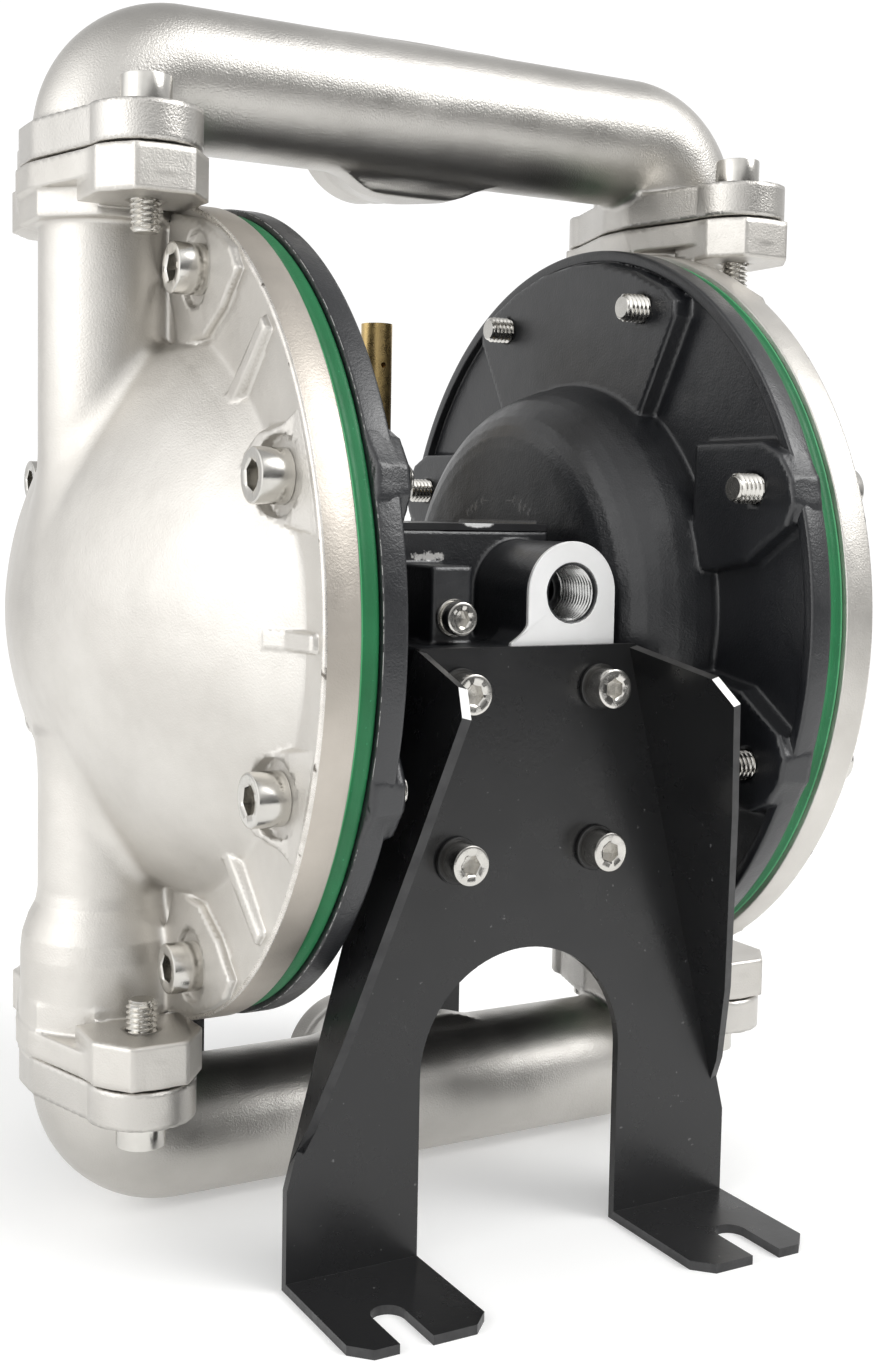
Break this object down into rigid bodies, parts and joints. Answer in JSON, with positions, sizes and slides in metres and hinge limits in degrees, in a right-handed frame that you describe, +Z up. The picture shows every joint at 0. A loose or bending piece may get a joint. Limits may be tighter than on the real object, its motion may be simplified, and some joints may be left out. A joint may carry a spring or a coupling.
{
  "type": "air operated diaphragm pump",
  "caption": "Air operated double diaphragm pump with clamped disc chambers, ball valve manifolds above and below, and a folded sheet stand front and rear.",
  "frame": {"origin": "middle of the footprint, on the floor the feet stand on", "axes": "+X along the diaphragm rod towards the right-hand disc, +Y towards the fluid ports at the back, +Z up"},
  "size_m": [0.2866, 0.2848, 0.4065],
  "materials": {
    "cast_stainless": "investment cast, bead blasted",
    "black_cast": "satin black coating on cast aluminium",
    "black_sheet": "semi-gloss black powder coat on folded sheet steel",
    "green_rubber": "matte moulded rubber",
    "bright_screw": "bright stainless fasteners",
    "turned_steel": "turned stainless",
    "alu_plate": "machined",
    "black_alu": "black anodised",
    "seal_rubber": "matte",
    "white_plastic": "white fluoroplastic",
    "brass": "drawn brass tube"
  },
  "bodies": {
    "pump": {"bottom_manifold": "cast_stainless", "bottom_manifold_screws": "bright_screw", "centre_body": "black_cast", "exhaust_tube": "brass", "front_bracket": "black_sheet", "front_bracket_screws": "bright_screw", "front_bracket_washers": "bright_screw", "inlet_seat_left": "turned_steel", "inlet_seat_right": "turned_steel", "joint_o_rings": "seal_rubber", "left_air_cover": "black_cast", "left_cover_screws": "bright_screw", "left_diaphragm": "green_rubber", "left_fluid_cover": "cast_stainless", "left_hub_screws": "bright_screw", "outlet_seat_left": "turned_steel", "outlet_seat_right": "turned_steel", "pilot_bush_left": "white_plastic", "pilot_bush_right": "white_plastic", "plug_screw": "bright_screw", "plug_washer": "bright_screw", "rear_bracket": "black_sheet", "rear_bracket_screws": "bright_screw", "rear_bracket_washers": "bright_screw", "right_air_cover": "black_cast", "right_cover_screws": "bright_screw", "right_diaphragm": "green_rubber", "right_fluid_cover": "cast_stainless", "right_hub_screws": "bright_screw", "rod_bush_left": "white_plastic", "rod_bush_right": "white_plastic", "rod_seal_left": "seal_rubber", "rod_seal_right": "seal_rubber", "top_manifold": "cast_stainless", "top_manifold_screws": "bright_screw", "top_plate": "black_alu", "top_plate_screws": "bright_screw", "valve_block": "black_alu", "valve_block_screws": "bright_screw", "valve_cap_left": "black_alu", "valve_cap_right": "black_alu", "valve_cap_screws": "bright_screw", "valve_gasket": "seal_rubber", "valve_liner": "alu_plate"},
    "rod": {"diaphragm_rod": "turned_steel", "inner_plate_left": "alu_plate", "inner_plate_right": "alu_plate", "outer_plate_left": "turned_steel", "outer_plate_right": "turned_steel", "rod_nut_left": "turned_steel", "rod_nut_right": "turned_steel"},
    "pilot": {"pilot_rod": "turned_steel"},
    "spool": {"valve_spool": "alu_plate", "valve_spool_seals": "seal_rubber"},
    "inlet_ball_l": {"inlet_ball_left": "white_plastic"},
    "inlet_ball_r": {"inlet_ball_right": "white_plastic"},
    "outlet_ball_l": {"outlet_ball_left": "white_plastic"},
    "outlet_ball_r": {"outlet_ball_right": "white_plastic"}
  },
  "joints": [
    {"name": "rod_stroke", "type": "slide", "parent": "pump", "child": "rod", "axis": [1, 0, 0], "range_m": [-0.008, 0.008], "deforming": ["left_diaphragm", "right_diaphragm"]},
    {"name": "pilot_shift", "type": "slide", "parent": "pump", "child": "pilot", "axis": [1, 0, 0], "range_m": [-0.003, 0.003]},
    {"name": "spool_shift", "type": "slide", "parent": "pump", "child": "spool", "axis": [1, 0, 0], "range_m": [-0.008, 0.008]},
    {"name": "inlet_ball_left_lift", "type": "slide", "parent": "pump", "child": "inlet_ball_l", "axis": [0, 0, 1], "range_m": [0, 0.008]},
    {"name": "inlet_ball_right_lift", "type": "slide", "parent": "pump", "child": "inlet_ball_r", "axis": [0, 0, 1], "range_m": [0, 0.008]},
    {"name": "outlet_ball_left_lift", "type": "slide", "parent": "pump", "child": "outlet_ball_l", "axis": [0, 0, 1], "range_m": [0, 0.008]},
    {"name": "outlet_ball_right_lift", "type": "slide", "parent": "pump", "child": "outlet_ball_r", "axis": [0, 0, 1], "range_m": [0, 0.008]}
  ],
  "couplings": [
    {"joint": "pilot_shift", "follows": "rod_stroke", "ratio": 0.375}
  ]
}
